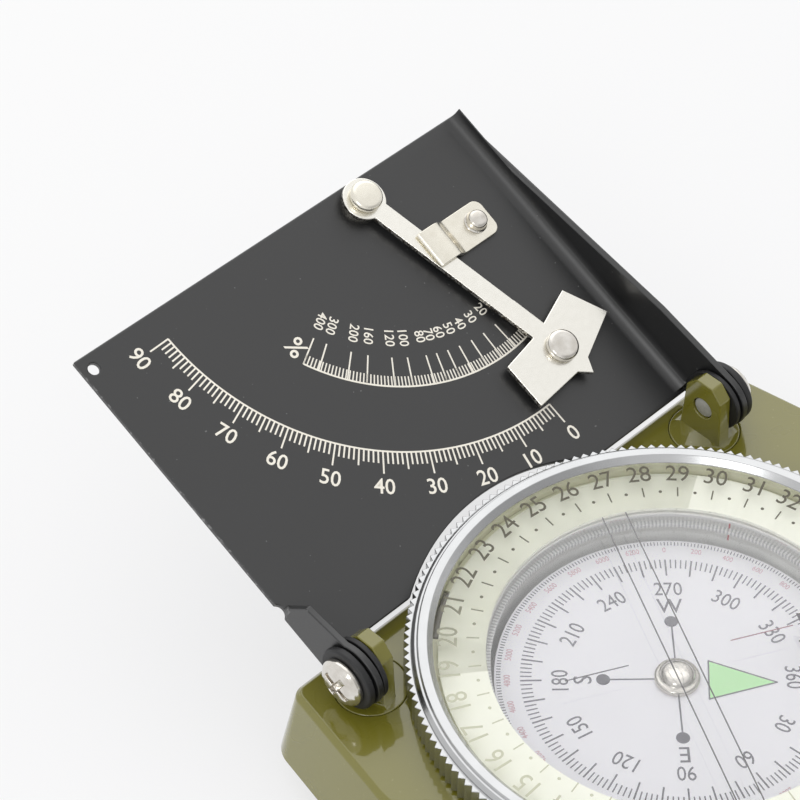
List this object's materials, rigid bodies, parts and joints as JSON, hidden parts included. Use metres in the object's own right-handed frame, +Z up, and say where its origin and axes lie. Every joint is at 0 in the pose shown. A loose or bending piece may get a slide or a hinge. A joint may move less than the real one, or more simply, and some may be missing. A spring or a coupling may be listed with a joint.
{
  "type": "clinometer compass",
  "caption": "Pocket compass with a turning bezel, floating card, folding lid that carries a pendulum clinometer, fold-down eyepiece, bubble level and thumb ring.",
  "frame": {"origin": "on the dial axis, in the plane that the compass rests on", "axes": "+X along the lid hinge, +Y from the dial towards the hinge, +Z up"},
  "size_m": [0.0693, 0.1296, 0.0317],
  "materials": {
    "olive_paint": "glossy enamel on an aluminium casting",
    "black_paint": "satin enamel",
    "screw_steel": "plated, bright",
    "black_rubber": "matt",
    "nickel": "nickel plated sheet",
    "bare_aluminium": "bright turned",
    "clear_glass": "clear",
    "luminous": "pale luminous ring",
    "spring_steel": "bare spring steel",
    "grey_rubber": "matt",
    "card": "printed white disc",
    "magnet": "bare",
    "vial_liquid": "clear, tinted"
  },
  "bodies": {
    "base": {"housing": "olive_paint", "dial_collar": "bare_aluminium", "base_plate": "olive_paint", "base_screws": "screw_steel", "hinge_lug_left": "olive_paint", "hinge_lug_right": "olive_paint", "lug_screws": "screw_steel", "hinge_screw_left": "screw_steel", "hinge_screw_right": "screw_steel", "inner_washer_left": "black_rubber", "inner_washer_right": "black_rubber", "outer_washer_left": "black_rubber", "outer_washer_right": "black_rubber", "bezel_spring": "spring_steel", "capsule_cup": "bare_aluminium", "capsule_gasket": "grey_rubber", "capsule_window": "clear_glass", "pivot_needle": "spring_steel", "eyepiece_stand": "olive_paint", "eyepiece_pin": "screw_steel", "ring_post": "olive_paint", "level_cup": "bare_aluminium", "level_vial": "vial_liquid"},
    "lid_assembly": {"lid": "black_paint", "pendulum_spacer": "nickel", "pivot_rivet": "nickel", "parking_clip": "nickel", "clip_rivet": "nickel"},
    "pendulum": {"pendulum_arm": "nickel", "pendulum_back_plate": "nickel", "weight_rivet": "nickel"},
    "bezel": {"bezel_ring": "bare_aluminium", "bezel_glass": "clear_glass", "luminous_ring": "luminous", "bezel_grub_screws": "screw_steel"},
    "card": {"compass_card": "card", "card_magnet": "magnet", "jewel_cap": "nickel"},
    "eyepiece": {"eyepiece_bracket": "olive_paint"},
    "focus_barrel": {"lens_barrel": "black_paint", "eyepiece_lens": "clear_glass", "lens_retainer": "black_paint"},
    "finger_ring": {"thumb_ring": "screw_steel"}
  },
  "joints": [
    {"name": "lid_hinge", "type": "hinge", "parent": "base", "child": "lid_assembly", "pos_m": [0.00155, 0.0189, 0.0151], "axis": [1, 0, 0], "range_deg": [0, 153.1]},
    {"name": "pendulum_swing", "type": "hinge", "parent": "lid_assembly", "child": "pendulum", "pos_m": [0.01035, 0.05314, 0.02995], "axis": [0, 0.4524, -0.8918], "range_deg": [0, 107]},
    {"name": "bezel_turn", "type": "hinge", "parent": "base", "child": "bezel", "pos_m": [0, 0, 0.0135], "axis": [0, 0, 1], "continuous": true},
    {"name": "card_turn", "type": "hinge", "parent": "base", "child": "card", "pos_m": [0, 0, 0.0101], "axis": [0, 0, 1], "continuous": true},
    {"name": "eyepiece_fold", "type": "hinge", "parent": "base", "child": "eyepiece", "pos_m": [0.00265, -0.0445, 0.0141], "axis": [1, 0, 0], "range_deg": [0, 100]},
    {"name": "eyepiece_focus", "type": "slide", "parent": "eyepiece", "child": "focus_barrel", "axis": [0, 0, 1], "range_m": [0, 0.0015]},
    {"name": "thumb_ring_swing", "type": "hinge", "parent": "base", "child": "finger_ring", "pos_m": [0.00265, -0.0552, 0.007], "axis": [-1, 0, 0], "range_deg": [-70, 115]}
  ]
}
